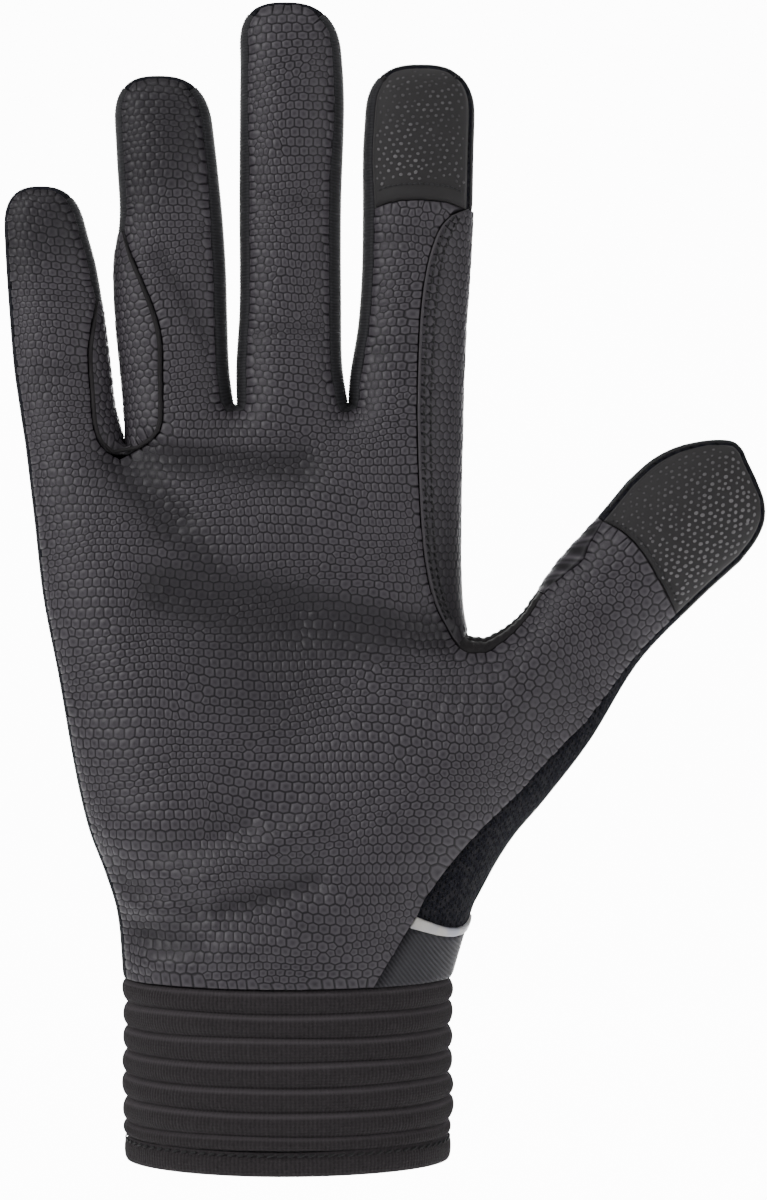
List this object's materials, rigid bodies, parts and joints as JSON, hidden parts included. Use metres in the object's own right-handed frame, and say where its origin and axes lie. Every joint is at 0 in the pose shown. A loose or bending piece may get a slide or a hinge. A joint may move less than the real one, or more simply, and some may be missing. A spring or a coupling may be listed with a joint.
{
  "type": "horse riding glove",
  "caption": "Full-finger riding glove in scale-embossed leather, with touch pads on thumb and index tips, a pale wrist band and a quilted knit cuff.",
  "frame": {"origin": "middle of the cuff's mouth, where the wrist goes in", "axes": "+Z towards the fingertips, -Y out of the palm, +X towards the thumb"},
  "size_m": [0.1547, 0.044, 0.2352],
  "materials": {
    "scale_leather": "satin, scale embossed",
    "edge_binding": "satin, fine grain",
    "touch_pad": "matt with small raised dots",
    "ribbed_gusset": "matt, fine cross ribs",
    "back_mesh": "matt heathered mesh",
    "wrist_twill": "matt twill",
    "reflective_band": "smooth retroreflective",
    "cuff_knit": "matt fine knit"
  },
  "bodies": {
    "root": {"palm_panel": "scale_leather", "back_panel": "back_mesh", "wrist_panel": "wrist_twill", "reflective_piping": "reflective_band", "fourchette_little_ring": "ribbed_gusset", "fourchette_ring_middle": "ribbed_gusset", "fourchette_middle_index": "ribbed_gusset", "ring_little_patch": "scale_leather", "index_side_patch": "scale_leather", "index_tip_pad": "touch_pad", "thumb_tip_pad": "touch_pad", "thumb_side_patch": "scale_leather", "crotch_binding": "edge_binding", "cuff": "cuff_knit", "cuff_hem": "cuff_knit"}
  },
  "joints": []
}
